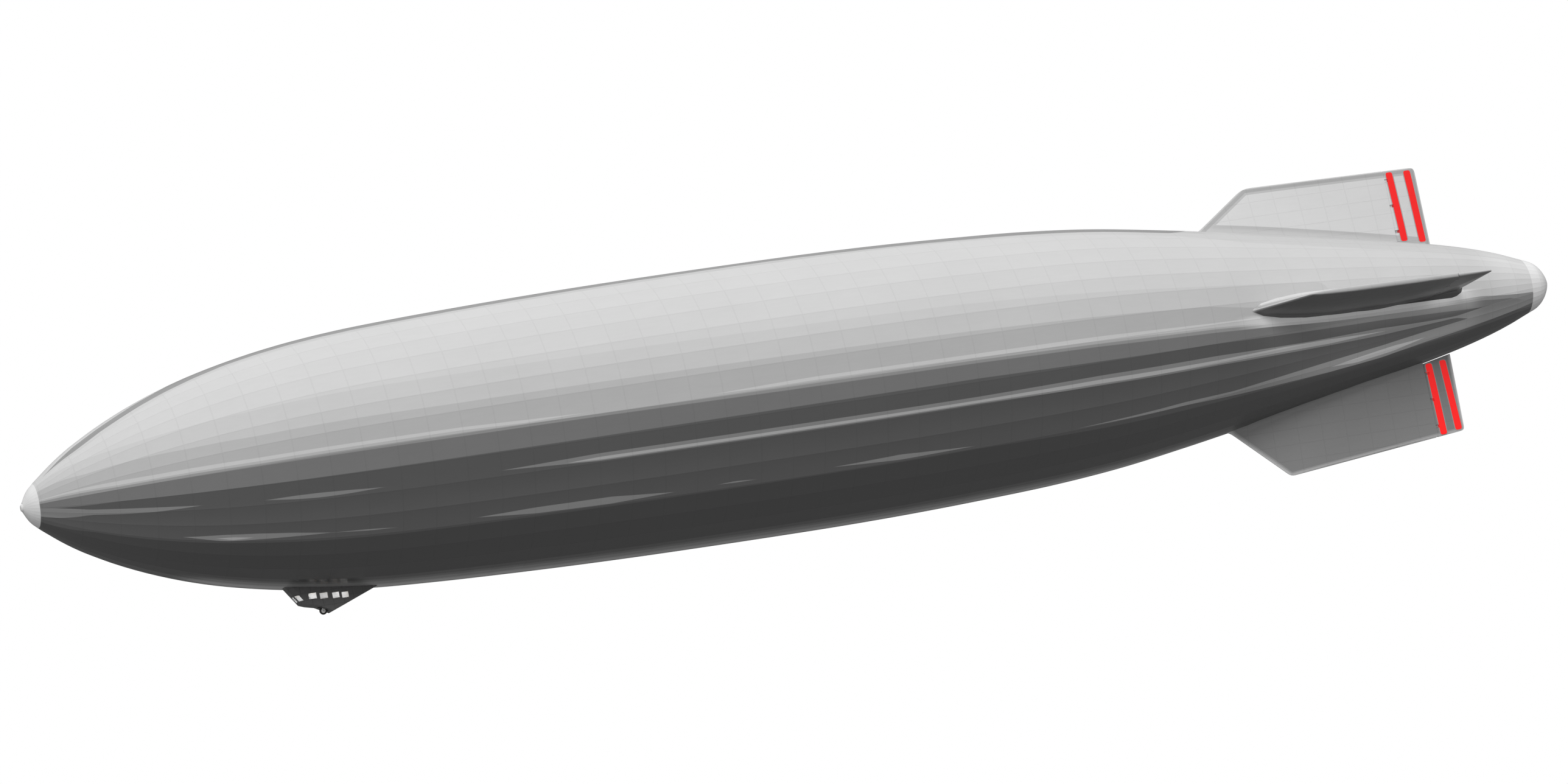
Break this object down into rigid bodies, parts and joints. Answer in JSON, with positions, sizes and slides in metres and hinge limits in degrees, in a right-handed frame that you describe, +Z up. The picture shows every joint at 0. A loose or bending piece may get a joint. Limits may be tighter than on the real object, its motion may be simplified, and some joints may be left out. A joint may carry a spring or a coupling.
{
  "type": "one-tenth scale rigid airship",
  "caption": "Pointed rigid airship with a two-tone skin, cruciform tail fins with hinged rudders and elevators, and a glazed control car with a landing wheel.",
  "frame": {"origin": "on the hull's axis at half its length, at the mount air", "axes": "+X towards the bow, +Y to port, +Z up"},
  "size_m": [24.5, 4.652, 4.5391],
  "materials": {
    "silver_fabric": "doped, satin silver",
    "dark_fabric": "doped, satin dark grey",
    "car_paint": "dark grey paint",
    "steel": "plain",
    "aluminium": "plain",
    "window_glass": "clear",
    "rubber": "matt",
    "wood": "varnished"
  },
  "bodies": {
    "root": {"envelope_upper": "silver_fabric", "envelope_lower": "dark_fabric", "bow_cap": "silver_fabric", "tail_cap": "silver_fabric", "mooring_cone": "steel", "fin_upper": "silver_fabric", "fin_lower": "dark_fabric", "fin_port": "dark_fabric", "fin_starboard": "dark_fabric", "hinge_rod_upper": "steel", "hinge_rod_lower": "steel", "hinge_rod_port": "steel", "hinge_rod_starboard": "steel", "car_shell": "car_paint", "car_glass": "window_glass", "car_floor": "wood", "rudder_helm": "steel", "elevator_helm": "steel", "chart_table": "wood", "ladder": "aluminium", "wheel_fork": "steel", "landing_axle": "steel"},
    "rudder_upper": {"rudder_upper": "silver_fabric"},
    "rudder_lower": {"rudder_lower": "dark_fabric"},
    "elevator_port": {"elevator_port": "dark_fabric"},
    "elevator_starboard": {"elevator_starboard": "dark_fabric"},
    "landing_wheel": {"landing_hub": "aluminium", "landing_tyre": "rubber"}
  },
  "joints": [
    {"name": "rudder_upper_hinge", "type": "hinge", "parent": "root", "child": "rudder_upper", "pos_m": [-9.92, 0, 1.4], "axis": [0, 0, 1], "range_deg": [-20, 20]},
    {"name": "rudder_lower_hinge", "type": "hinge", "parent": "root", "child": "rudder_lower", "pos_m": [-9.92, 0, -1.4], "axis": [0, 0, 1], "range_deg": [-20, 20]},
    {"name": "elevator_port_hinge", "type": "hinge", "parent": "root", "child": "elevator_port", "pos_m": [-9.92, 1.4, 0], "axis": [0, 1, 0], "range_deg": [-20, 20]},
    {"name": "elevator_starboard_hinge", "type": "hinge", "parent": "root", "child": "elevator_starboard", "pos_m": [-9.92, -1.4, 0], "axis": [0, 1, 0], "range_deg": [-20, 20]},
    {"name": "landing_wheel_spin", "type": "hinge", "parent": "root", "child": "landing_wheel", "pos_m": [8.06, 0, -2.168], "axis": [0, 1, 0], "continuous": true}
  ],
  "couplings": [
    {"joint": "rudder_lower_hinge", "follows": "rudder_upper_hinge", "ratio": 1},
    {"joint": "elevator_starboard_hinge", "follows": "elevator_port_hinge", "ratio": 1}
  ]
}
